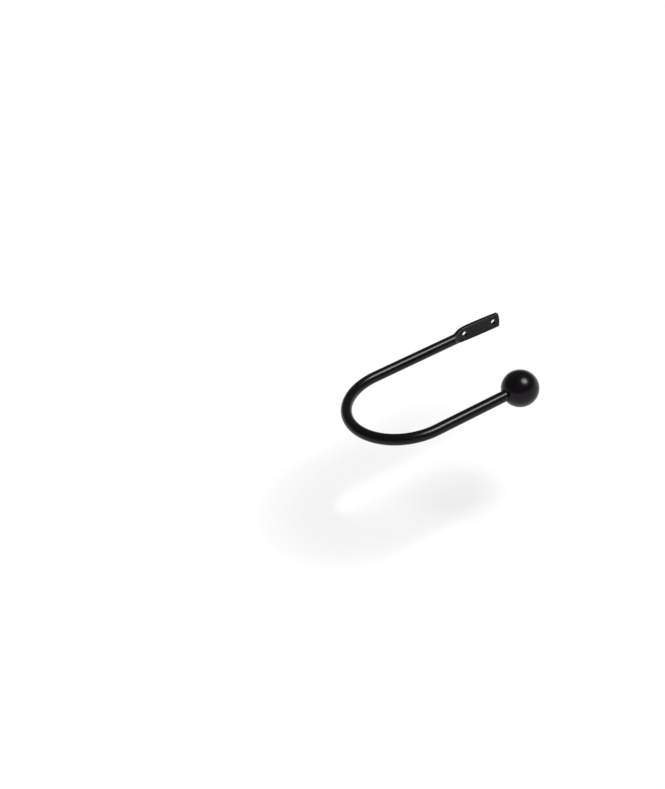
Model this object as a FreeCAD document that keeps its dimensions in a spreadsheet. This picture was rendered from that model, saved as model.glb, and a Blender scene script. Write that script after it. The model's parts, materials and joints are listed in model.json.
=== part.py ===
import FreeCAD, Part
import math
import os

import Sketcher

# Curtain holdback: a steel tube bent to a U, one end pressed flat and pierced for two wall screws,
# the other end carrying a ball that keeps the gathered curtain from slipping off.
# Frame: the flat plate's back lies on the wall plane y = 0, with the origin midway between its two
# screw holes. The plate runs along X, and the U lies level at z = 0 and reaches out along -Y.

# Driving dimensions in millimetres and degrees
SIZES = {
    "tube_od": 10.0,
    "tube_wall": 1.6,
    "bend_radius": 52.0,
    "wall_leg": 87.0,
    "front_leg": 86.3,
    "lean_angle": 3.3,
    "pressed_len": 52.9,
    "flare_len": 30.2,
    "plate_width": 15.2,
    "plate_edge_radius": 0.6,
    "fold_gap": 0.4,
    "rim_rise": 0.2,
    "die_nose_radius": 6.0,
    "die_nose_setback": 12.5,
    "die_draft_angle": 45.0,
    "end_arc_radius": 18.0,
    "end_edge_radius": 0.45,
    "hole_dia": 5.2,
    "hole_spacing": 32.0,
    "hole_end_margin": 6.7,
    "ball_dia": 33.0,
    "seat_past_centre": 4.0,
    "bond_gap": 0.05,
    "mouth_lead_in": 0.4,
}

# Sizes and places that follow from the driving ones
DERIVED = {
    "tube_bore": "=tube_od - 2 * tube_wall",
    "face_thick": "=2 * tube_wall + fold_gap",
    "rim_thick": "=face_thick + rim_rise",
    "end_x": "=hole_spacing / 2 + hole_end_margin",
    "flare_x": "=end_x - pressed_len",
    "die_nose_x": "=flare_x + die_nose_setback",
    "die_top": "=face_thick + tube_od",
    "die_top_radius": "=die_nose_radius + tube_od * tan(die_draft_angle * 1 deg)",
    "die_far_x": "=end_x + plate_width",
    "lean_sine": "=sin(lean_angle * 1 deg)",
    "lean_cosine": "=cos(lean_angle * 1 deg)",
    "leg_x": "=flare_x + tube_od / 2 * lean_sine",
    "leg_y": "=-tube_od / 2 * lean_cosine",
    "ball_x": "=leg_x + (front_leg - wall_leg) * lean_cosine + 2 * bend_radius * lean_sine",
    "ball_y": "=leg_y + (front_leg - wall_leg) * lean_sine - 2 * bend_radius * lean_cosine",
    "socket_radius": "=tube_od / 2 + bond_gap",
    "mouth_radius": "=socket_radius + mouth_lead_in",
}

# From round tube to flat plate the pressed end flares. Each station has its share of the flare's length,
# of the spread in width, of the steel's loss in thickness and of the hollow's, which closes first.
FLARE_STATIONS = [
    (0.12, 0.05, 0.16, 0.72),
    (0.24, 0.35, 0.55, 1.00),
    (0.37, 0.69, 0.84, 1.00),
    (0.56, 0.86, 0.95, 1.00),
    (0.78, 0.96, 0.99, 1.00),
    (1.00, 1.00, 1.00, 1.00),
]
# Corner radius over thickness, just short of a full round
NEARLY_ROUND_SHARE = 0.45
# Where the flat sides and the corners begin on the round tube, in degrees from its back and front
SIDE_ANGLE = 22
CORNER_ANGLE = 82
# Height of the sheared-off piece over the plate's width, so that it overhangs both sides
WASTE_SHARE = 1.2
NEAR_ZERO = 1e-6


def blended(start, end, share):
    """A formula for the size that lies a share of the way between two others."""
    return f"{start} + ({end} - {start}) * {share}"


def section_cells(name, along, spread, pressed, closed):
    """The cells for one pressed section: its place, then width, thickness and corner, steel and hollow."""
    corner = f"{NEARLY_ROUND_SHARE} * tube_od * {1 - pressed} + plate_edge_radius * {pressed}"
    return {
        f"{name}_place": f"=flare_x + flare_len * {along}",
        f"{name}_width": f"={blended('tube_od', 'plate_width', spread)}",
        f"{name}_thick": f"={blended('tube_od', 'rim_thick', pressed)}",
        f"{name}_corner": f"={corner}",
        f"{name}_hollow_width": f"={name}_width - 2 * tube_wall",
        f"{name}_hollow_thick": f"={blended('tube_bore', 'fold_gap', closed)}",
        f"{name}_hollow_corner": f"={NEARLY_ROUND_SHARE} * {name}_hollow_thick",
    }


FLARE_SECTIONS = [f"flare_station_{number}" for number in range(1, len(FLARE_STATIONS) + 1)]
for name, station in zip(FLARE_SECTIONS, FLARE_STATIONS):
    DERIVED.update(section_cells(name, *station))

doc = FreeCAD.newDocument("curtain_holdback")
sheet = doc.addObject("Spreadsheet::Sheet", "Sizes")
for row, (name, content) in enumerate([*SIZES.items(), *DERIVED.items()], start=1):
    sheet.set(f"A{row}", name)
    sheet.set(f"B{row}", str(content))
    sheet.setAlias(f"B{row}", name)
doc.recompute()


def size(name):
    """The sheet's value of a size, to draw a sketch near its solved form."""
    return float(sheet.get(name))


def vector(x, y):
    return FreeCAD.Vector(x, y, 0)


def turn_about(axis):
    """A placement turned about an axis, whose angle an expression then sets."""
    any_angle = 1
    return FreeCAD.Placement(FreeCAD.Vector(), FreeCAD.Rotation(FreeCAD.Vector(*axis), any_angle))


def new_body(label):
    body = doc.addObject("PartDesign::Body", label)
    body.Label = label
    return body


def new_sketch(body, name, plane_role):
    """An empty sketch on one of the body's own origin planes."""
    sketch = body.newObject("Sketcher::SketchObject", name)
    plane = next(f for f in body.Origin.OriginFeatures if f.Role == plane_role)
    sketch.AttachmentSupport = [(plane, "")]
    sketch.MapMode = "FlatFace"
    return sketch


def constrain(sketch, *terms):
    sketch.addConstraint(Sketcher.Constraint(*terms))


def dimension(sketch, name, formula, *terms):
    """A measured constraint that takes its value from the sheet."""
    index = sketch.addConstraint(Sketcher.Constraint(*terms))
    sketch.renameConstraint(index, name)
    sketch.setExpression(f"Constraints.{name}", formula)


def add_line(sketch, start, end):
    return sketch.addGeometry(Part.LineSegment(vector(*start), vector(*end)))


def add_arc(sketch, centre, radius, from_degrees, to_degrees):
    circle = Part.Circle(vector(*centre), FreeCAD.Vector(0, 0, 1), radius)
    return sketch.addGeometry(Part.ArcOfCircle(circle, math.radians(from_degrees), math.radians(to_degrees)))


def add_circle(sketch, centre, radius):
    return sketch.addGeometry(Part.Circle(vector(*centre), FreeCAD.Vector(0, 0, 1), radius))


def add_flat_ring(sketch, name, back):
    """A rounded rectangle, thickness across and width up, whose back side lies a depth in from the wall."""
    width = size(f"{name}_width")
    thick = size(f"{name}_thick")
    radius = size(f"{name}_corner")
    right = -size(back) if back else 0.0
    left = right - thick
    top = width / 2
    inner_right = right - radius
    inner_left = left + radius
    inner_top = top - radius
    back_side = add_line(sketch, (right, -inner_top), (right, inner_top))
    upper_back = add_arc(sketch, (inner_right, inner_top), radius, 0, 90)
    upper_side = add_line(sketch, (inner_right, top), (inner_left, top))
    upper_front = add_arc(sketch, (inner_left, inner_top), radius, 90, 180)
    front_side = add_line(sketch, (left, inner_top), (left, -inner_top))
    lower_front = add_arc(sketch, (inner_left, -inner_top), radius, 180, 270)
    lower_side = add_line(sketch, (inner_left, -top), (inner_right, -top))
    lower_back = add_arc(sketch, (inner_right, -inner_top), radius, 270, 360)
    ring = [back_side, upper_back, upper_side, upper_front]
    ring += [front_side, lower_front, lower_side, lower_back]
    for piece, following in zip(ring, ring[1:] + ring[:1]):
        constrain(sketch, "Tangent", piece, 2, following, 1)
    constrain(sketch, "Horizontal", upper_side)
    constrain(sketch, "Horizontal", lower_side)
    constrain(sketch, "Vertical", front_side)
    constrain(sketch, "Symmetric", back_side, 1, back_side, 2, -1)
    for corner in (upper_front, lower_front, lower_back):
        constrain(sketch, "Equal", upper_back, corner)
    dimension(sketch, f"{name}_corner", f"Sizes.{name}_corner", "Radius", upper_back, radius)
    dimension(sketch, f"{name}_thick", f"Sizes.{name}_thick",
              "DistanceX", front_side, 1, back_side, 2, thick)
    dimension(sketch, f"{name}_width", f"Sizes.{name}_width",
              "DistanceY", lower_side, 1, upper_side, 2, width)
    if back:
        dimension(sketch, f"{name}_back", f"Sizes.{back}", "DistanceX", back_side, 2, -1, 1, -right)
    else:
        constrain(sketch, "PointOnObject", back_side, 2, -2)


def add_parted_circle(sketch, name):
    """A circle about the sketch's origin, parted where the sides and corners of the flat sections begin."""
    radius = size(name) / 2
    quarter = [SIDE_ANGLE, CORNER_ANGLE]
    stops = [-SIDE_ANGLE, *quarter]
    stops += [180 - angle for angle in reversed(quarter)]
    stops += [180 + angle for angle in quarter]
    stops += [360 - angle for angle in reversed(quarter)]
    arcs = [add_arc(sketch, (0, 0), radius, a, b) for a, b in zip(stops, stops[1:])]
    back, upper_back, upper, upper_front, front, lower_front, lower, lower_back = arcs
    for arc in arcs:
        constrain(sketch, "Coincident", arc, 3, -1, 1)
    for arc, following in zip(arcs, arcs[1:]):
        constrain(sketch, "Coincident", arc, 2, following, 1)
    for point in ((back, 1), (lower_back, 2)):
        constrain(sketch, "Vertical", back, 2, *point)
    constrain(sketch, "Vertical", front, 1, front, 2)
    constrain(sketch, "Vertical", upper, 1, lower, 2)
    constrain(sketch, "Vertical", upper, 2, lower, 1)
    constrain(sketch, "Horizontal", back, 2, front, 1)
    constrain(sketch, "Horizontal", upper, 1, upper, 2)
    dimension(sketch, f"{name}_radius", f"Sizes.{name} / 2", "Radius", back, radius)
    chords = {
        "side": (SIDE_ANGLE, back, 1, back, 2),
        "corner": (CORNER_ANGLE, lower, 2, upper, 1),
    }
    for label, (angle, *ends) in chords.items():
        chord = 2 * radius * math.sin(math.radians(angle))
        dimension(sketch, f"{name}_{label}", f"Sizes.{name} * sin({angle} deg)", "DistanceY", *ends, chord)


def add_tube_circle(sketch, name):
    circle = add_circle(sketch, (0, 0), size(name) / 2)
    constrain(sketch, "Coincident", circle, 3, -1, 1)
    dimension(sketch, name, f"Sizes.{name}", "Diameter", circle, size(name))


def round_section(body, name, add_ring):
    """The tube's wall, square to the leaning wall leg where the pressed end begins."""
    sketch = new_sketch(body, name, "YZ_Plane")
    sketch.AttachmentOffset = turn_about((0, 1, 0))
    sketch.setExpression("AttachmentOffset.Base.x", "Sizes.leg_y")
    sketch.setExpression("AttachmentOffset.Base.z", "Sizes.leg_x")
    sketch.setExpression("AttachmentOffset.Rotation.Angle", "Sizes.lean_angle * 1 deg")
    add_ring(sketch, "tube_od")
    add_ring(sketch, "tube_bore")
    return sketch


def pressed_section(body, name):
    """The pressed tube at one station: its steel, with its back on the wall plane, and its hollow."""
    sketch = new_sketch(body, name, "YZ_Plane")
    sketch.setExpression("AttachmentOffset.Base.z", f"Sizes.{name}_place")
    add_flat_ring(sketch, name, None)
    add_flat_ring(sketch, f"{name}_hollow", "tube_wall")
    return sketch


def die_outline(body, name, depth, radius):
    """The pressing die's outline a depth out from the wall: a round nose, open past the plate's end."""
    sketch = new_sketch(body, name, "XZ_Plane")
    sketch.setExpression("AttachmentOffset.Base.z", f"Sizes.{depth}")
    nose_x = size("die_nose_x")
    far_x = size("die_far_x")
    half = size(radius)
    nose = add_arc(sketch, (nose_x, 0), half, 90, 270)
    lower = add_line(sketch, (nose_x, -half), (far_x, -half))
    far = add_line(sketch, (far_x, -half), (far_x, half))
    upper = add_line(sketch, (far_x, half), (nose_x, half))
    constrain(sketch, "Tangent", nose, 2, lower, 1)
    constrain(sketch, "Tangent", upper, 2, nose, 1)
    constrain(sketch, "Coincident", lower, 2, far, 1)
    constrain(sketch, "Coincident", far, 2, upper, 1)
    constrain(sketch, "Vertical", far)
    constrain(sketch, "Horizontal", lower)
    constrain(sketch, "Horizontal", upper)
    constrain(sketch, "PointOnObject", nose, 3, -1)
    dimension(sketch, "nose_radius", f"Sizes.{radius}", "Radius", nose, half)
    dimension(sketch, "far_x", "Sizes.die_far_x", "DistanceX", -1, 1, far, 1, far_x)
    dimension(sketch, "nose_depth", "Sizes.die_far_x - Sizes.die_nose_x",
              "DistanceX", nose, 3, far, 1, far_x - nose_x)
    return sketch


def bend_path(body):
    """The tube's centre line: the wall leg, the half-turn and the front leg down to its seat in the ball."""
    sketch = new_sketch(body, "bend_path", "XY_Plane")
    out = (size("lean_cosine"), size("lean_sine"))
    side = (out[1], -out[0])
    radius = size("bend_radius")
    front = size("front_leg") + size("seat_past_centre")
    start = (size("leg_x"), size("leg_y"))
    turn_in = tuple(s - size("wall_leg") * o for s, o in zip(start, out))
    middle = tuple(t + radius * s for t, s in zip(turn_in, side))
    turn_out = tuple(t + 2 * radius * s for t, s in zip(turn_in, side))
    seat = tuple(t + front * o for t, o in zip(turn_out, out))
    lean = size("lean_angle")
    wall_leg = add_line(sketch, start, turn_in)
    bend = add_arc(sketch, middle, radius, 90 + lean, 270 + lean)
    front_leg = add_line(sketch, turn_out, seat)
    constrain(sketch, "Tangent", wall_leg, 2, bend, 1)
    constrain(sketch, "Tangent", bend, 2, front_leg, 1)
    constrain(sketch, "Parallel", wall_leg, front_leg)
    dimension(sketch, "start_x", "-Sizes.leg_x", "DistanceX", wall_leg, 1, -1, 1, -start[0])
    dimension(sketch, "start_y", "-Sizes.leg_y", "DistanceY", wall_leg, 1, -1, 1, -start[1])
    dimension(sketch, "back_x", "Sizes.wall_leg * Sizes.lean_cosine",
              "DistanceX", wall_leg, 2, wall_leg, 1, start[0] - turn_in[0])
    dimension(sketch, "back_y", "Sizes.wall_leg * Sizes.lean_sine",
              "DistanceY", wall_leg, 2, wall_leg, 1, start[1] - turn_in[1])
    dimension(sketch, "bend_radius", "Sizes.bend_radius", "Radius", bend, radius)
    dimension(sketch, "front_len", "Sizes.front_leg + Sizes.seat_past_centre", "Distance", front_leg, front)
    return sketch


def end_waste(body):
    """What is sheared off past the plate's bowed end: an arc, closed clear of the plate's outline."""
    sketch = new_sketch(body, "end_waste", "XZ_Plane")
    radius = size("end_arc_radius")
    height = size("plate_width") * WASTE_SHARE
    half = height / 2
    reach = math.degrees(math.asin(half / radius))
    centre_x = size("end_x") - radius
    inner_x = centre_x + radius * math.cos(math.radians(reach))
    outer_x = size("end_x") + size("plate_width")
    arc = add_arc(sketch, (centre_x, 0), radius, -reach, reach)
    upper = add_line(sketch, (inner_x, half), (outer_x, half))
    outer = add_line(sketch, (outer_x, half), (outer_x, -half))
    lower = add_line(sketch, (outer_x, -half), (inner_x, -half))
    constrain(sketch, "Coincident", arc, 2, upper, 1)
    constrain(sketch, "Coincident", upper, 2, outer, 1)
    constrain(sketch, "Coincident", outer, 2, lower, 1)
    constrain(sketch, "Coincident", lower, 2, arc, 1)
    constrain(sketch, "Horizontal", upper)
    constrain(sketch, "Horizontal", lower)
    constrain(sketch, "Symmetric", outer, 1, outer, 2, -1)
    constrain(sketch, "PointOnObject", arc, 3, -1)
    dimension(sketch, "arc_radius", "Sizes.end_arc_radius", "Radius", arc, radius)
    dimension(sketch, "height", f"Sizes.plate_width * {WASTE_SHARE}",
              "DistanceY", outer, 2, outer, 1, height)
    dimension(sketch, "outer_x", "Sizes.end_x + Sizes.plate_width", "DistanceX", -1, 1, outer, 1, outer_x)
    dimension(sketch, "arc_depth", "Sizes.plate_width + Sizes.end_arc_radius",
              "DistanceX", arc, 3, outer, 1, outer_x - centre_x)
    return sketch


def screw_holes(body):
    """The two screw holes, level with the U and evenly to both sides of the origin."""
    sketch = new_sketch(body, "screw_holes", "XZ_Plane")
    spacing = size("hole_spacing")
    radius = size("hole_dia") / 2
    near = add_circle(sketch, (-spacing / 2, 0), radius)
    far = add_circle(sketch, (spacing / 2, 0), radius)
    constrain(sketch, "Symmetric", near, 3, far, 3, -1, 1)
    constrain(sketch, "PointOnObject", far, 3, -1)
    constrain(sketch, "Equal", near, far)
    dimension(sketch, "hole_dia", "Sizes.hole_dia", "Diameter", far, 2 * radius)
    dimension(sketch, "hole_spacing", "Sizes.hole_spacing", "DistanceX", near, 3, far, 3, spacing)
    return sketch


def press_flat(body):
    """Presses the plate's face down to two walls and the fold between them, with a ramp up to the tube."""
    before = body.Shape.Volume
    face = die_outline(body, "die_face", "face_thick", "die_nose_radius")
    top = die_outline(body, "die_top", "die_top", "die_top_radius")
    doc.recompute()
    die = body.newObject("PartDesign::SubtractiveLoft", "die_press")
    die.Profile = face
    die.Sections = [top]
    die.Ruled = True
    doc.recompute()
    if not die.Shape.Volume < before:
        raise RuntimeError("the die presses nothing")


def cut_through(body, name, sketch):
    """Cuts a sketch right through the body, both ways from its plane."""
    before = body.Shape.Volume
    cut = body.newObject("PartDesign::Pocket", name)
    cut.Profile = sketch
    cut.Type = "ThroughAll"
    cut.Midplane = True
    doc.recompute()
    if not cut.Shape.Volume < before:
        raise RuntimeError(f"{name} cuts nothing")
    return cut


def end_rim(shape):
    """Names of the edges round the outside of the plate's bowed end."""
    names = []
    for face in shape.Faces:
        round_wall = isinstance(face.Surface, Part.Cylinder)
        if round_wall and abs(face.Surface.Radius - size("end_arc_radius")) < NEAR_ZERO:
            for rim in face.OuterWire.Edges:
                names += [f"Edge{n}" for n, edge in enumerate(shape.Edges, start=1) if edge.isSame(rim)]
    return names


def make_hook_tube():
    body = new_body("hook_tube")
    ring = round_section(body, "tube_section", add_tube_circle)
    path = bend_path(body)
    doc.recompute()
    bent = body.newObject("PartDesign::AdditivePipe", "bent_tube")
    bent.Profile = ring
    bent.Spine = (path, ["Edge1", "Edge2", "Edge3"])
    doc.recompute()

    start = round_section(body, "flare_start", add_parted_circle)
    stations = [pressed_section(body, name) for name in FLARE_SECTIONS]
    doc.recompute()
    flare = body.newObject("PartDesign::AdditiveLoft", "flare")
    flare.Profile = start
    flare.Sections = stations
    doc.recompute()
    plate = body.newObject("PartDesign::Pad", "plate")
    plate.Profile = stations[-1]
    plate.setExpression("Length", "Sizes.pressed_len - Sizes.flare_len")
    doc.recompute()

    trim = cut_through(body, "end_trim", end_waste(body))
    rounding = body.newObject("PartDesign::Fillet", "end_rounding")
    rounding.Base = (trim, end_rim(trim.Shape))
    rounding.setExpression("Radius", "Sizes.end_edge_radius")
    doc.recompute()
    press_flat(body)
    cut_through(body, "screw_hole_pair", screw_holes(body))
    return body


def ball_profile(body):
    """Half the ball's outline about its axis, with the blind socket that the tube's end seats in."""
    sketch = new_sketch(body, "ball_profile", "XY_Plane")
    radius = size("ball_dia") / 2
    seat = size("seat_past_centre")
    socket = size("socket_radius")
    mouth = size("mouth_radius")
    lead = size("mouth_lead_in")
    mouth_x = -math.sqrt(radius ** 2 - mouth ** 2)
    wall_x = mouth_x + lead
    core = add_line(sketch, (seat, 0), (radius, 0))
    skin = add_arc(sketch, (0, 0), radius, 0, math.degrees(math.atan2(mouth, mouth_x)))
    lead_in = add_line(sketch, (mouth_x, mouth), (wall_x, socket))
    wall = add_line(sketch, (wall_x, socket), (seat, socket))
    floor = add_line(sketch, (seat, socket), (seat, 0))
    constrain(sketch, "Coincident", core, 2, skin, 1)
    constrain(sketch, "Coincident", skin, 2, lead_in, 1)
    constrain(sketch, "Coincident", lead_in, 2, wall, 1)
    constrain(sketch, "Coincident", wall, 2, floor, 1)
    constrain(sketch, "Coincident", floor, 2, core, 1)
    constrain(sketch, "Coincident", skin, 3, -1, 1)
    constrain(sketch, "PointOnObject", core, 1, -1)
    constrain(sketch, "PointOnObject", core, 2, -1)
    constrain(sketch, "Horizontal", wall)
    constrain(sketch, "Vertical", floor)
    dimension(sketch, "ball_radius", "Sizes.ball_dia / 2", "Radius", skin, radius)
    dimension(sketch, "seat_x", "Sizes.seat_past_centre", "DistanceX", -1, 1, core, 1, seat)
    dimension(sketch, "socket_radius", "Sizes.socket_radius", "DistanceY", floor, 2, floor, 1, socket)
    dimension(sketch, "mouth_radius", "Sizes.mouth_radius", "DistanceY", -1, 1, lead_in, 1, mouth)
    dimension(sketch, "mouth_lead_in", "Sizes.mouth_lead_in", "DistanceX", lead_in, 1, lead_in, 2, lead)
    return sketch


def make_ball():
    body = new_body("ball_finial")
    profile = ball_profile(body)
    doc.recompute()
    ball = body.newObject("PartDesign::Revolution", "ball")
    ball.Profile = profile
    ball.ReferenceAxis = (profile, ["H_Axis"])
    ball.Angle = 360
    doc.recompute()
    body.Placement = turn_about((0, 0, 1))
    body.setExpression("Placement.Base.x", "Sizes.ball_x")
    body.setExpression("Placement.Base.y", "Sizes.ball_y")
    body.setExpression("Placement.Rotation.Angle", "Sizes.lean_angle * 1 deg")
    return body


def check(sub_parts):
    """Stops the build if any object failed or a sub-part isn't one sound solid."""
    for thing in doc.Objects:
        if "Invalid" in thing.State or "Error" in thing.State:
            raise RuntimeError(f"{thing.Name} failed: {thing.State}")
    for body in sub_parts:
        shape = body.Shape
        if shape.isNull() or not shape.isValid() or len(shape.Solids) != 1:
            raise RuntimeError(f"{body.Label} is not one sound solid")


sub_parts = [make_hook_tube(), make_ball()]
doc.recompute()
check(sub_parts)
os.makedirs("parts", exist_ok=True)
for body in sub_parts:
    body.Shape.exportStep(f"parts/{body.Label}.step")
    print(body.Label, round(body.Shape.Volume, 1), "mm3", body.Shape.BoundBox)
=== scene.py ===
import json
import math

import bmesh
import bpy
from mathutils import Matrix, Vector


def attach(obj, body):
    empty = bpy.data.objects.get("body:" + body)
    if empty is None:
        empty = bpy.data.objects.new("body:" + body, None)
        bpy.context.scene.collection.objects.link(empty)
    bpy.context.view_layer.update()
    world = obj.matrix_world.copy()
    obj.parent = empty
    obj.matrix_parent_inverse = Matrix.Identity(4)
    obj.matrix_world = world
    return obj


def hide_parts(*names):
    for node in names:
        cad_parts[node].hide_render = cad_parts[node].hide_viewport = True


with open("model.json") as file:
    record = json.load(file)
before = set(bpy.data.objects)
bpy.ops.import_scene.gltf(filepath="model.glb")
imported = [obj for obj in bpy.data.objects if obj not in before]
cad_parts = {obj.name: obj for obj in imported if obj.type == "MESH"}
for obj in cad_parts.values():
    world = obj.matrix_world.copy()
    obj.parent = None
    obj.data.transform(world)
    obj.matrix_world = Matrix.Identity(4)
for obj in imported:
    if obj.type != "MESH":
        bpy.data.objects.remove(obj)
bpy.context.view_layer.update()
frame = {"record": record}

# Curtain holdback: a black coated steel tube bent to a U, pressed flat and pierced at its wall end, with
# a ball on its front end. The frame is the wall's: plate along X, wall at y = 0, the U level at z = 0.
MM = 0.001

# Tube and bend: the tube leans a little off the plate's line, and its bore is open only inside the ball
TUBE_RADIUS = 5.0 * MM
TUBE_WALL = 1.6 * MM
BORE_RADIUS = TUBE_RADIUS - TUBE_WALL
BORE_DEPTH = 12.0 * MM
BEND_RADIUS = 52.0 * MM
WALL_LEG = 87.0 * MM
FRONT_LEG = 86.3 * MM
LEAN = math.radians(3.3)
RING_POINTS = 144
BEND_STEPS = 96

# Screw holes: the wall mount gives their size and spacing, and faces within the clearance make room for them
WALL_SCREWS = next(mount["dims"] for mount in frame["record"]["mounts"] if mount["name"] == "wall_screws")
HOLE_RADIUS = WALL_SCREWS["hole_r_mm"] * MM
HALF_SPACING = WALL_SCREWS["spacing_x_mm"] / 2 * MM
HOLE_PLACES = (-HALF_SPACING, HALF_SPACING)
HOLE_END_MARGIN = 6.7 * MM
HOLE_EDGE_RADIUS = 0.12 * MM
HOLE_EDGE_RINGS = 4
HOLE_POINTS = 64
HOLE_CLEARANCE = 3.7 * MM
FLAT_TOLERANCE = 0.002 * MM

# Flare: the round tube spreads and is pressed flat, each about half done at its halfway share of the length.
# Its first sections, up to the leaning share, still lean with the tube.
FLARE_LENGTH = 30.2 * MM
FLARE_START = -FLARE_LENGTH
FLARE_RINGS = 84
SPREAD_HALFWAY = 0.25
SPREAD_STEEPNESS = 3.2
PRESS_HALFWAY = 0.222
PRESS_STEEPNESS = 3.0
LEANING_SHARE = 0.5

# Plate: a flat face between two low rims. The two angles are the turns that its flat side and edge take up.
PLATE_HALF_WIDTH = 7.6 * MM
RIM_THICK = 3.8 * MM
FACE_THICK = 3.6 * MM
PLATE_EDGE_RADIUS = 0.6 * MM
PLATE_RINGS = 50
FLAT_SIDE_ANGLE = math.radians(22)
FLAT_EDGE_ANGLE = math.radians(8)

# Pressing die: a round nose, with a 45 degree ramp round it, and how soft it leaves the steel
DIE_NOSE_X = -17.7 * MM
DIE_NOSE_RADIUS = 6.0 * MM
DIE_CREASE = 0.35 * MM
RIM_SOFTNESS = 0.15 * MM
SHOULDER_SOFTNESS = 1.2 * MM

# Bowed end: the plate tapers slightly towards it, and the fold leaves a slit between the plate's two walls.
# The slit shows in the end, where it stops short of the screw hole, and as a groove in each hole.
END_X = HALF_SPACING + HOLE_END_MARGIN
END_ARC_RADIUS = 24.0 * MM
END_TAPER = 0.45 * MM
END_TAPER_POWER = 3
END_EDGE_RADIUS = 0.45 * MM
END_EDGE_RINGS = 5
SLIT_HALF_WIDTH = 6.0 * MM
SLIT_HALF_GAP = 0.2 * MM
SLIT_CENTRE = -FACE_THICK / 2
SLIT_DEPTH = 2.7 * MM
SLIT_FLOOR_X = END_X - SLIT_DEPTH
FOLD_GROOVE_DEPTH = 0.7 * MM

# Ball
BALL_RADIUS = 16.5 * MM
SEAT_PAST_CENTRE = 4.0 * MM
BOND_GAP = 0.05 * MM
SOCKET_RADIUS = TUBE_RADIUS + BOND_GAP
MOUTH_LEAD_IN = 0.4 * MM
BALL_STEPS = 128
MERIDIAN_STEPS = 64

# Directions and places along the bent tube
OUT = Vector((math.cos(LEAN), math.sin(LEAN), 0.0))
AWAY = Vector((math.sin(LEAN), -math.cos(LEAN), 0.0))
UP = Vector((0.0, 0.0, 1.0))
LEG_START = Vector((FLARE_START, 0.0, 0.0)) + AWAY * TUBE_RADIUS
BEND_START = LEG_START - OUT * WALL_LEG
BEND_CENTRE = BEND_START + AWAY * BEND_RADIUS
BEND_END = BEND_CENTRE + AWAY * BEND_RADIUS
BALL_CENTRE = BEND_END + OUT * FRONT_LEG
SEAT = BALL_CENTRE + OUT * SEAT_PAST_CENTRE

# The photograph's viewpoint
VIEW_TARGET = Vector((-160.24, -9.23, 0.0)) * MM
VIEW_DISTANCE = 900.34 * MM
VIEW_ELEVATION = math.radians(34.881)
VIEW_TURN = math.radians(17.806)
VIEW_ROLL = math.radians(-12.717)
LENS_MM = 45.128
SENSOR_MM = 36.0

# The studio: a pale floor well below the holdback, a round key light from the right and above, and a plain
# backdrop, white where it meets the floor and grey above
FLOOR_DROP = 130.0 * MM
FLOOR_REACH = 10.0
WHITE = "#ffffff"
PAPER_COLOUR = "#c8c8c8"
PAPER_ROUGHNESS = 0.9
PAPER_LIFT = 0.43
KEY_DIRECTION = Vector((0.3432, -0.3431, 0.8739))
KEY_WIDTH = math.radians(28.0)
KEY_STRENGTH = 3.3
FILL_STRENGTH = 0.08
BACKDROP_GREY = 0.2
HORIZON_FADE = 0.16

# Satin black finishes: their sheen level is under half of a plain gloss, which is 0.5
DEEP_BLACK = "#060406"
WARM_BLACK = "#0a070a"
SHEEN_TINT = "#fff5ff"
SHEEN_LEVEL = 0.225
ROUGHNESS_LEAST = 0.21
ROUGHNESS_MOST = 0.27
DRIFT_SIZE = 7.0 * MM
DRIFT_DETAIL = 2.0
COAT_RIPPLE_SIZE = 0.9 * MM
COAT_RIPPLE_HEIGHT = 0.003 * MM
PLASTIC_RIPPLE_SIZE = 0.7 * MM
PLASTIC_RIPPLE_HEIGHT = 0.0015 * MM
RIPPLE_DETAIL = 1.0

# Meshes: edges that turn more than this stay crisp, and points closer than this become one
SHARP_ANGLE = math.radians(32)
MERGE_DISTANCE = 0.0005 * MM


def linear(hex_colour):
    """An sRGB hex colour as linear RGBA."""
    channels = [int(hex_colour[i:i + 2], 16) / 255 for i in (1, 3, 5)]
    return [c / 12.92 if c <= 0.04045 else ((c + 0.055) / 1.055) ** 2.4 for c in channels] + [1.0]


def add_node(tree, kind, settings=None, links=None):
    """Adds a shader node, sets its values and links its inputs."""
    node = tree.nodes.new(kind)
    for name, value in (settings or {}).items():
        if name in node.inputs:
            node.inputs[name].default_value = value
        else:
            setattr(node, name, value)
    for name, source in (links or {}).items():
        tree.links.new(source, node.inputs[name])
    return node


def new_material(name):
    """A material with no nodes yet."""
    material = bpy.data.materials.new(name)
    material.use_nodes = True
    material.node_tree.nodes.clear()
    return material


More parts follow.
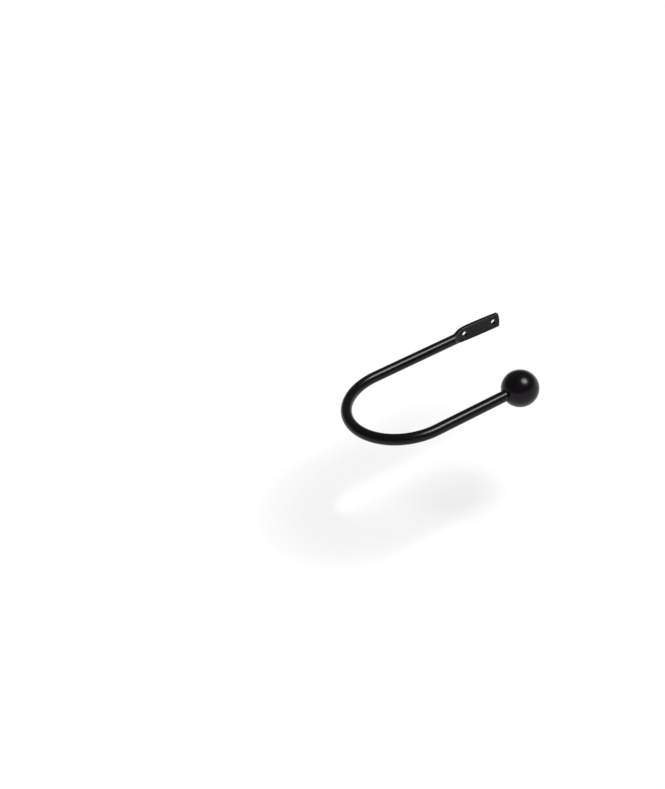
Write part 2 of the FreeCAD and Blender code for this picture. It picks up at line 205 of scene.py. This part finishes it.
def satin_black(name, ripple_size, ripple_height):
    """A satin black skin. Its ripple is about as fine as the picture can show, and its tone and gloss drift
    a little over a few millimetres, so no stretch of it is quite even."""
    material = new_material(name)
    tree = material.node_tree
    place = add_node(tree, "ShaderNodeTexCoord").outputs["Object"]
    ripple = add_node(tree, "ShaderNodeTexNoise", {"Scale": 1 / ripple_size, "Detail": RIPPLE_DETAIL},
                      {"Vector": place})
    bump = add_node(tree, "ShaderNodeBump", {"Strength": 1.0, "Distance": ripple_height},
                    {"Height": ripple.outputs["Fac"]})
    drift = add_node(tree, "ShaderNodeTexNoise", {"Scale": 1 / DRIFT_SIZE, "Detail": DRIFT_DETAIL},
                     {"Vector": place})
    gloss = add_node(tree, "ShaderNodeMapRange", {"To Min": ROUGHNESS_LEAST, "To Max": ROUGHNESS_MOST},
                     {"Value": drift.outputs["Fac"]})
    tone = add_node(tree, "ShaderNodeMix", {"data_type": "RGBA"}, {"Factor": drift.outputs["Fac"]})
    tone.inputs["A"].default_value = linear(DEEP_BLACK)
    tone.inputs["B"].default_value = linear(WARM_BLACK)
    shader = add_node(tree, "ShaderNodeBsdfPrincipled", {
        "Specular IOR Level": SHEEN_LEVEL, "Specular Tint": linear(SHEEN_TINT)}, {
        "Base Color": tone.outputs["Result"], "Roughness": gloss.outputs["Result"],
        "Normal": bump.outputs["Normal"]})
    add_node(tree, "ShaderNodeOutputMaterial", None, {"Surface": shader.outputs["BSDF"]})
    return material


def powder_coat():
    """Satin black powder coat, baked on steel: the powder melts to an even skin, and the faint ripple that
    it sets with softens the edges of the long light along the tube."""
    return satin_black("satin_black_powder_coat_on_steel", COAT_RIPPLE_SIZE, COAT_RIPPLE_HEIGHT)


def moulded_plastic():
    """Satin black moulded plastic: a skin as smooth as its mould, so the light stands on it as one round
    spot."""
    return satin_black("satin_black_moulded_plastic", PLASTIC_RIPPLE_SIZE, PLASTIC_RIPPLE_HEIGHT)


def seen_directly(tree):
    """1 for a ray that shows a surface to the camera: straight, by reflection or through something clear."""
    path = add_node(tree, "ShaderNodeLightPath").outputs
    straight = add_node(tree, "ShaderNodeMath", {"operation": "MAXIMUM"}, {
        0: path["Is Camera Ray"], 1: path["Is Glossy Ray"]})
    return add_node(tree, "ShaderNodeMath", {"operation": "MAXIMUM"}, {
        0: straight.outputs[0], 1: path["Is Transmission Ray"]}).outputs[0]


def studio_paper():
    """Matt white studio paper: lifted to white where it is seen, so it keeps only the holdback's soft
    shadow."""
    material = new_material("white_studio_paper")
    tree = material.node_tree
    lift = add_node(tree, "ShaderNodeMath", {"operation": "MULTIPLY"}, {0: seen_directly(tree)})
    lift.inputs[1].default_value = PAPER_LIFT
    shader = add_node(tree, "ShaderNodeBsdfPrincipled", {
        "Base Color": linear(PAPER_COLOUR), "Roughness": PAPER_ROUGHNESS, "Specular IOR Level": 0.0,
        "Emission Color": linear(WHITE)}, {"Emission Strength": lift.outputs[0]})
    add_node(tree, "ShaderNodeOutputMaterial", None, {"Surface": shader.outputs["BSDF"]})
    return material


def studio_backdrop():
    """An even low fill light. What the camera sees, straight or reflected, is the backdrop instead."""
    world = bpy.data.worlds.new("studio_backdrop")
    world.use_nodes = True
    tree = world.node_tree
    tree.nodes.clear()
    direction = add_node(tree, "ShaderNodeTexCoord").outputs["Generated"]
    height = add_node(tree, "ShaderNodeSeparateXYZ", None, {"Vector": direction}).outputs["Z"]
    backdrop = add_node(tree, "ShaderNodeMapRange", {
        "interpolation_type": "SMOOTHSTEP", "From Max": HORIZON_FADE, "To Min": 1.0,
        "To Max": BACKDROP_GREY}, {"Value": height})
    strength = add_node(tree, "ShaderNodeMapRange", {"To Min": FILL_STRENGTH}, {
        "Value": seen_directly(tree), "To Max": backdrop.outputs["Result"]})
    shader = add_node(tree, "ShaderNodeBackground", {"Color": linear(WHITE)}, {
        "Strength": strength.outputs["Result"]})
    add_node(tree, "ShaderNodeOutputWorld", None, {"Surface": shader.outputs["Background"]})
    return world


def add_to_scene(name, data):
    """A new object at the origin, for a mesh, a lamp or a camera."""
    thing = bpy.data.objects.new(name, data)
    bpy.context.scene.collection.objects.link(thing)
    return thing


def new_piece(name, bm, material):
    """Closes a mesh's seams, turns its faces outward and makes it an object at the origin."""
    bmesh.ops.remove_doubles(bm, verts=bm.verts, dist=MERGE_DISTANCE)
    bmesh.ops.recalc_face_normals(bm, faces=bm.faces)
    for face in bm.faces:
        face.smooth = True
    mesh = bpy.data.meshes.new(name)
    bm.to_mesh(mesh)
    bm.free()
    mesh.set_sharp_from_angle(angle=SHARP_ANGLE)
    mesh.materials.append(material)
    return add_to_scene(name, mesh)


def frame_at(place, across, axis):
    """A placement whose x runs across, y up and z along an axis."""
    return Matrix.Translation(place) @ Matrix((across, UP, axis)).transposed().to_4x4()


def extend(bm, ring, place):
    """Extrudes a ring of edges and puts each new point where it belongs."""
    old = {point for edge in ring for point in edge.verts}
    grown = bmesh.ops.extrude_edge_only(bm, edges=ring)["geom"]
    edges = [e for e in grown if isinstance(e, bmesh.types.BMEdge) and not old.intersection(e.verts)]
    for point in {point for edge in edges for point in edge.verts}:
        point.co = place(point)
    return edges


def eased_share(along, halfway, steepness):
    """How far a change has gone along the flare: it starts and ends gently."""
    def rise(share):
        return share ** steepness / (share ** steepness + halfway ** steepness)
    return rise(along) / rise(1.0)


def rounded_box_point(turn, half_width, half_thick, corner, flatness):
    """A point on a rounded box section by its turn from the back: its height, and its depth to the wall."""
    quarter = math.asin(min(1.0, abs(math.sin(turn))))
    side_share = min(1.0, quarter / FLAT_SIDE_ANGLE)
    edge_share = min(1.0, (math.pi / 2 - quarter) / FLAT_EDGE_ANGLE)
    corner_span = math.pi / 2 - FLAT_SIDE_ANGLE - FLAT_EDGE_ANGLE
    corner_turn = math.pi / 2 * min(1.0, max(0.0, (quarter - FLAT_SIDE_ANGLE) / corner_span))
    corner_turn = quarter + (corner_turn - quarter) * flatness
    height = (half_width - corner) * side_share + corner * math.sin(corner_turn)
    depth = (half_thick - corner) * edge_share + corner * math.cos(corner_turn)
    return math.copysign(height, math.sin(turn)), math.copysign(depth, math.cos(turn))


def die_depth(x, z):
    """How far out from the wall the pressing die lets the steel stand: its flat face, then a ramp."""
    past_nose = math.hypot(min(0.0, x - DIE_NOSE_X), z) - DIE_NOSE_RADIUS
    if past_nose < -DIE_CREASE:
        return FACE_THICK
    if past_nose > DIE_CREASE:
        return FACE_THICK + past_nose
    return FACE_THICK + (past_nose + DIE_CREASE) ** 2 / (4 * DIE_CREASE)


def soft_least(first, second, softness):
    """The lesser of two sizes, rounded over where they meet."""
    near = max(0.0, softness - abs(first - second)) / softness
    return min(first, second) - near ** 2 * softness / 4


def bowed_end(z):
    """Where the plate's bowed end lies at a height."""
    return END_X - END_ARC_RADIUS + math.sqrt(END_ARC_RADIUS ** 2 - z ** 2)


def pressed_section(turn, along, inset=0.0):
    """Depth and height of a point on the pressed tube's outside, before the die comes down."""
    spread = eased_share(along, SPREAD_HALFWAY, SPREAD_STEEPNESS)
    pressed = eased_share(along, PRESS_HALFWAY, PRESS_STEEPNESS)
    half_width = TUBE_RADIUS + (PLATE_HALF_WIDTH - TUBE_RADIUS) * spread - inset
    half_thick = TUBE_RADIUS + (RIM_THICK / 2 - TUBE_RADIUS) * pressed - inset
    corner = TUBE_RADIUS + (PLATE_EDGE_RADIUS - TUBE_RADIUS) * pressed - inset
    height, depth = rounded_box_point(turn, half_width, half_thick, corner, pressed)
    return depth - half_thick - inset, height


def flare_point(turn, along):
    """A point on the flaring part, whose first sections still lean with the tube."""
    y, z = pressed_section(turn, along)
    leaning = max(0.0, 1.0 - along / LEANING_SHARE)
    x = FLARE_START + FLARE_LENGTH * along - y * math.tan(LEAN) * leaning
    softness = RIM_SOFTNESS + SHOULDER_SOFTNESS * leaning
    return Vector((x, -soft_least(-y, die_depth(x, z), softness), z))


def plate_point(turn, along, inset=0.0, overhang=0.0):
    """A point on the flat plate, a share of the way to its bowed end."""
    y, z = pressed_section(turn, 1.0, inset)
    z *= 1 - END_TAPER / PLATE_HALF_WIDTH * along ** END_TAPER_POWER
    x = (bowed_end(z) - END_EDGE_RADIUS) * along + overhang
    return Vector((x, -soft_least(-y, die_depth(x, z) - inset, RIM_SOFTNESS), z))


def slit_point(turn, floor_x=None):
    """A point on the slit between the plate's two walls: on its mouth in the bowed end, or on its floor."""
    height, depth = rounded_box_point(turn, SLIT_HALF_WIDTH, SLIT_HALF_GAP, SLIT_HALF_GAP, 1.0)
    x = bowed_end(height) if floor_x is None else floor_x
    return Vector((x, SLIT_CENTRE + depth, height))


def add_bent_tube(bm, turn):
    """The tube from its end in the ball, round the bend to where the pressing begins. Returns its last
    ring."""
    start = frame_at(SEAT - OUT * BORE_DEPTH, AWAY, -OUT)
    circle = bmesh.ops.create_circle(bm, cap_ends=True, segments=RING_POINTS, radius=BORE_RADIUS,
                                     matrix=start)
    for point in circle["verts"]:
        local = start.inverted() @ point.co
        point[turn] = math.atan2(local.y, local.x)
    ring = list({edge for point in circle["verts"] for edge in point.link_edges})

    def on_circle(centre, radius):
        return lambda point: centre + (AWAY * math.cos(point[turn]) + UP * math.sin(point[turn])) * radius
    ring = extend(bm, ring, on_circle(SEAT, BORE_RADIUS))
    ring = extend(bm, ring, on_circle(SEAT, TUBE_RADIUS))
    ring = extend(bm, ring, on_circle(BEND_END, TUBE_RADIUS))
    points = list({point for edge in ring for point in edge.verts})
    bend = bmesh.ops.spin(bm, geom=points + ring, cent=BEND_CENTRE, axis=UP, angle=-math.pi,
                          steps=BEND_STEPS)
    ring = [edge for edge in bend["geom_last"] if isinstance(edge, bmesh.types.BMEdge)]
    return extend(bm, ring, lambda point: point.co + OUT * WALL_LEG)


def add_pressed_end(bm, turn, ring):
    """Carries the tube's last ring on over the flare and the plate to the slit in its bowed end."""
    for step in range(1, FLARE_RINGS + 1):
        along = step / FLARE_RINGS
        ring = extend(bm, ring, lambda point: flare_point(point[turn], along))
    for step in range(1, PLATE_RINGS + 1):
        along = step / PLATE_RINGS
        ring = extend(bm, ring, lambda point: plate_point(point[turn], along))
    for step in range(1, END_EDGE_RINGS + 1):
        lap = math.pi / 2 * step / END_EDGE_RINGS
        inset = END_EDGE_RADIUS * (1 - math.cos(lap))
        overhang = END_EDGE_RADIUS * math.sin(lap)
        ring = extend(bm, ring, lambda point: plate_point(point[turn], 1.0, inset, overhang))
    ring = extend(bm, ring, lambda point: slit_point(point[turn]))
    ring = extend(bm, ring, lambda point: slit_point(point[turn], SLIT_FLOOR_X))
    bmesh.ops.edgeloop_fill(bm, edges=ring)


def open_flat(bm, x, y):
    """Opens the plate's flat side round a hole's place and fills in up to the hole. Returns the hole's
    rim."""
    centre = Vector((x, y, 0.0))
    faces = {face for face in bm.faces
             if all(abs(point.co.y - y) < FLAT_TOLERANCE for point in face.verts)
             and (face.calc_center_median() - centre).length < HOLE_CLEARANCE}
    border = [edge for edge in {edge for face in faces for edge in face.edges}
              if len(faces.intersection(edge.link_faces)) == 1]
    bmesh.ops.delete(bm, geom=list(faces), context="FACES")
    on_face = frame_at(centre, Vector((1.0, 0.0, 0.0)), Vector((0.0, -1.0, 0.0)))
    circle = bmesh.ops.create_circle(bm, segments=HOLE_POINTS, radius=HOLE_RADIUS + HOLE_EDGE_RADIUS,
                                     matrix=on_face)
    rim = list({edge for point in circle["verts"] for edge in point.link_edges})
    bmesh.ops.triangle_fill(bm, use_beauty=True, edges=border + rim)
    return rim


def add_screw_hole(bm, x):
    """Pierces the plate: soft rims to both sides, and the fold between the two walls as a fine groove."""
    def on_wall(radius, y):
        def place(point):
            across = Vector((point.co.x - x, 0.0, point.co.z)).normalized()
            return Vector((x, y, 0.0)) + across * radius
        return place
    front = open_flat(bm, x, -FACE_THICK)
    back = open_flat(bm, x, 0.0)
    for step in range(1, HOLE_EDGE_RINGS + 1):
        lap = math.pi / 2 * step / HOLE_EDGE_RINGS
        radius = HOLE_RADIUS + HOLE_EDGE_RADIUS * (1 - math.sin(lap))
        sunk = HOLE_EDGE_RADIUS * (1 - math.cos(lap))
        front = extend(bm, front, on_wall(radius, -FACE_THICK + sunk))
        back = extend(bm, back, on_wall(radius, -sunk))
    groove_radius = HOLE_RADIUS + FOLD_GROOVE_DEPTH
    front_side = SLIT_CENTRE - SLIT_HALF_GAP
    back_side = SLIT_CENTRE + SLIT_HALF_GAP
    for radius, y in ((HOLE_RADIUS, front_side), (groove_radius, front_side),
                      (groove_radius, back_side), (HOLE_RADIUS, back_side)):
        front = extend(bm, front, on_wall(radius, y))
    bmesh.ops.bridge_loops(bm, edges=front + back)


def make_hook_tube(material):
    """The tube with its pressed and pierced end. Each point remembers its turn about the tube's line."""
    bm = bmesh.new()
    turn = bm.verts.layers.float.new("turn")
    ring = add_bent_tube(bm, turn)
    add_pressed_end(bm, turn, ring)
    for x in HOLE_PLACES:
        add_screw_hole(bm, x)
    bm.verts.layers.float.remove(turn)
    return new_piece("holdback_tube", bm, material)


def make_ball(material):
    """The ball, turned about the tube's line from half its outline, with the blind socket the tube sits
    in."""
    bm = bmesh.new()
    mouth_radius = SOCKET_RADIUS + MOUTH_LEAD_IN
    sweep = math.pi - math.asin(mouth_radius / BALL_RADIUS)
    pole = bmesh.ops.create_vert(bm, co=BALL_CENTRE + OUT * BALL_RADIUS)["vert"]
    skin = bmesh.ops.spin(bm, geom=pole, cent=BALL_CENTRE, axis=AWAY, angle=sweep, steps=MERIDIAN_STEPS)
    end = [point for point in skin["geom_last"] if isinstance(point, bmesh.types.BMVert)]
    up_side = math.copysign(1.0, end[0].co.z)
    mouth_x = math.sqrt(BALL_RADIUS ** 2 - mouth_radius ** 2)
    for along, height in ((MOUTH_LEAD_IN - mouth_x, SOCKET_RADIUS),
                          (SEAT_PAST_CENTRE, SOCKET_RADIUS),
                          (SEAT_PAST_CENTRE, 0.0)):
        end = bmesh.ops.extrude_vert_indiv(bm, verts=end)["verts"]
        end[0].co = BALL_CENTRE + OUT * along + UP * height * up_side
    bmesh.ops.spin(bm, geom=bm.verts[:] + bm.edges[:], cent=BALL_CENTRE, axis=OUT, angle=2 * math.pi,
                   steps=BALL_STEPS, use_merge=True)
    return new_piece("holdback_ball", bm, material)


def make_studio():
    """The floor, the key light and the backdrop."""
    bm = bmesh.new()
    bmesh.ops.create_grid(bm, x_segments=1, y_segments=1, size=FLOOR_REACH,
                          matrix=Matrix.Translation(-UP * FLOOR_DROP))
    new_piece("studio_floor", bm, studio_paper())

    key = bpy.data.lights.new("key_light", "SUN")
    key.energy = KEY_STRENGTH
    key.angle = KEY_WIDTH
    lamp = add_to_scene("key_light", key)
    lamp.rotation_mode = "QUATERNION"
    lamp.rotation_quaternion = KEY_DIRECTION.to_track_quat("Z", "Y")

    bpy.context.scene.world = studio_backdrop()


def make_camera():
    """The camera at the photograph's viewpoint, turned, tilted down and rolled."""
    forward = Vector((math.sin(VIEW_TURN) * math.cos(VIEW_ELEVATION),
                      math.cos(VIEW_TURN) * math.cos(VIEW_ELEVATION),
                      -math.sin(VIEW_ELEVATION)))
    level_right = Vector((math.cos(VIEW_TURN), -math.sin(VIEW_TURN), 0.0))
    level_up = level_right.cross(forward)
    right = level_right * math.cos(VIEW_ROLL) + level_up * math.sin(VIEW_ROLL)
    up = right.cross(forward)
    data = bpy.data.cameras.new("photo_view")
    data.sensor_width = SENSOR_MM
    data.lens = LENS_MM
    camera = add_to_scene("photo_view", data)
    turned = Matrix((right, up, -forward)).transposed().to_4x4()
    camera.matrix_world = Matrix.Translation(VIEW_TARGET - forward * VIEW_DISTANCE) @ turned
    bpy.context.scene.camera = camera


tube = make_hook_tube(powder_coat())
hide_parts("hook_tube")
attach(tube, "root")
ball = make_ball(moulded_plastic())
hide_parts("ball_finial")
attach(ball, "root")
make_studio()
make_camera()
bpy.context.scene.view_settings.view_transform = "Standard"
